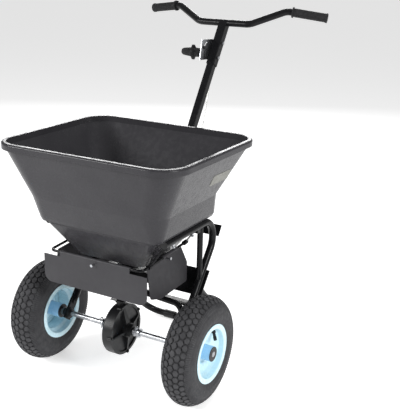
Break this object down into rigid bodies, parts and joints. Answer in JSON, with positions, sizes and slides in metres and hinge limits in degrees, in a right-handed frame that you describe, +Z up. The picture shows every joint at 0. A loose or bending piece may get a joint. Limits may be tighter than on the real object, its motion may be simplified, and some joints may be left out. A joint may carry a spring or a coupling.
{
  "type": "broadcast spreader",
  "caption": "Walk-behind broadcast spreader: hopper on a tube frame, two pneumatic wheels, gearbox-driven impeller, hinged deflectors, flow lever and T-handle.",
  "frame": {"origin": "on the ground under the centre of the overall bounding box", "axes": "+X along the axle towards the driven wheel, -Y is the front, +Y towards the operator, +Z up"},
  "size_m": [0.6848, 0.9425, 1.1106],
  "materials": {
    "tyre_rubber": "black moulded rubber",
    "rim_paint": "gloss pale blue enamel",
    "hub_steel": "pale blue enamel",
    "black_plastic": "satin black moulded plastic",
    "valve_rubber": "matt black rubber",
    "zinc_steel": "bright zinc plate",
    "wire_steel": "bare steel wire",
    "hopper_plastic": "fine-grained charcoal polyethylene",
    "black_powder_coat": "gloss black powder coat",
    "deflector_coat": "matt dark grey powder coat",
    "grip_rubber": "matt ribbed black rubber"
  },
  "bodies": {
    "chassis": {"arch_tube": "black_powder_coat", "axle_bearings": "black_plastic", "crank_bracket": "black_powder_coat", "deflector_rod": "black_powder_coat", "frame_bolts": "zinc_steel", "frame_struts": "black_powder_coat", "gate_rails": "black_plastic", "gearbox_cover": "black_plastic", "gearbox_housing": "black_plastic", "gearbox_plug": "black_plastic", "gearbox_screws": "black_powder_coat", "handle_post": "black_powder_coat", "handlebar": "black_powder_coat", "hopper": "hopper_plastic", "left_frame_tube": "black_powder_coat", "left_grip": "grip_rubber", "lever_plate": "zinc_steel", "lower_cross_plate": "black_powder_coat", "pivot_bolts": "zinc_steel", "rear_cross_plate": "black_powder_coat", "right_frame_tube": "black_powder_coat", "right_grip": "grip_rubber", "rod_hangers": "black_powder_coat", "shaft_bushes": "black_plastic", "stand": "black_powder_coat", "stand_pads": "black_plastic", "tube_plugs": "black_plastic", "upper_cross_strap": "black_powder_coat"},
    "axle": {"axle": "zinc_steel", "axle_pins": "zinc_steel", "axle_washers": "zinc_steel", "drive_gear": "black_plastic", "right_tyre": "tyre_rubber", "right_rim": "rim_paint", "right_hub": "hub_steel", "right_wheel_bushes": "black_plastic", "right_valve_stem": "valve_rubber"},
    "left_wheel": {"left_tyre": "tyre_rubber", "left_rim": "rim_paint", "left_hub": "hub_steel", "left_wheel_bushes": "black_plastic", "left_valve_stem": "valve_rubber"},
    "impeller": {"impeller_shaft": "zinc_steel", "pinion": "black_plastic", "impeller": "black_plastic", "impeller_pin": "zinc_steel", "agitator": "black_plastic"},
    "gate": {"shutoff_gate": "black_plastic", "gate_pull_rod": "zinc_steel"},
    "lever": {"flow_lever": "zinc_steel", "lever_grip": "black_plastic"},
    "control_rod": {"control_rod": "wire_steel"},
    "crank": {"bell_crank": "zinc_steel"},
    "front_flap": {"front_deflector": "deflector_coat", "front_deflector_clip": "zinc_steel"},
    "left_flap": {"left_deflector": "deflector_coat", "left_deflector_clip": "zinc_steel"},
    "right_flap": {"right_deflector": "deflector_coat", "right_deflector_clip": "zinc_steel"},
    "stop": {"rate_stop": "black_plastic"}
  },
  "joints": [
    {"name": "axle_spin", "type": "hinge", "parent": "chassis", "child": "axle", "pos_m": [0, -0.2632, 0.165], "axis": [1, 0, 0], "continuous": true},
    {"name": "left_wheel_spin", "type": "hinge", "parent": "chassis", "child": "left_wheel", "pos_m": [-0.275, -0.2632, 0.165], "axis": [1, 0, 0], "continuous": true},
    {"name": "impeller_spin", "type": "hinge", "parent": "chassis", "child": "impeller", "pos_m": [0, -0.2632, 0.3], "axis": [0, 0, 1], "continuous": true},
    {"name": "lever_swing", "type": "hinge", "parent": "chassis", "child": "lever", "pos_m": [-0.025, 0.3218, 0.968], "axis": [1, 0, 0], "range_deg": [0, 40]},
    {"name": "rod_pivot", "type": "hinge", "parent": "lever", "child": "control_rod", "pos_m": [-0.031, 0.36127, 0.95364], "axis": [1, 0, 0], "range_deg": [-40, 0]},
    {"name": "crank_swing", "type": "hinge", "parent": "chassis", "child": "crank", "pos_m": [-0.025, 0.0568, 0.463], "axis": [1, 0, 0], "range_deg": [0, 40]},
    {"name": "gate_slide", "type": "slide", "parent": "chassis", "child": "gate", "axis": [0, 1, 0], "range_m": [0, 0.041]},
    {"name": "front_flap_hinge", "type": "hinge", "parent": "chassis", "child": "front_flap", "pos_m": [0, -0.3912, 0.431], "axis": [-1, 0, 0], "range_deg": [0, 80]},
    {"name": "right_flap_hinge", "type": "hinge", "parent": "chassis", "child": "right_flap", "pos_m": [0.16, -0.3912, 0.431], "axis": [0, -0.9984, -0.0557], "range_deg": [0, 70]},
    {"name": "left_flap_hinge", "type": "hinge", "parent": "chassis", "child": "left_flap", "pos_m": [-0.16, -0.3912, 0.431], "axis": [0, 0.9984, 0.0557], "range_deg": [0, 70]},
    {"name": "rate_stop_slide", "type": "slide", "parent": "chassis", "child": "stop", "axis": [0, 0.7682, 0.6402], "range_m": [0, 0.022]}
  ],
  "couplings": [
    {"joint": "impeller_spin", "follows": "axle_spin", "ratio": 6},
    {"joint": "rod_pivot", "follows": "lever_swing", "ratio": -1},
    {"joint": "crank_swing", "follows": "lever_swing", "ratio": 1},
    {"joint": "gate_slide", "follows": "lever_swing", "m_per_rad": 0.058728}
  ]
}
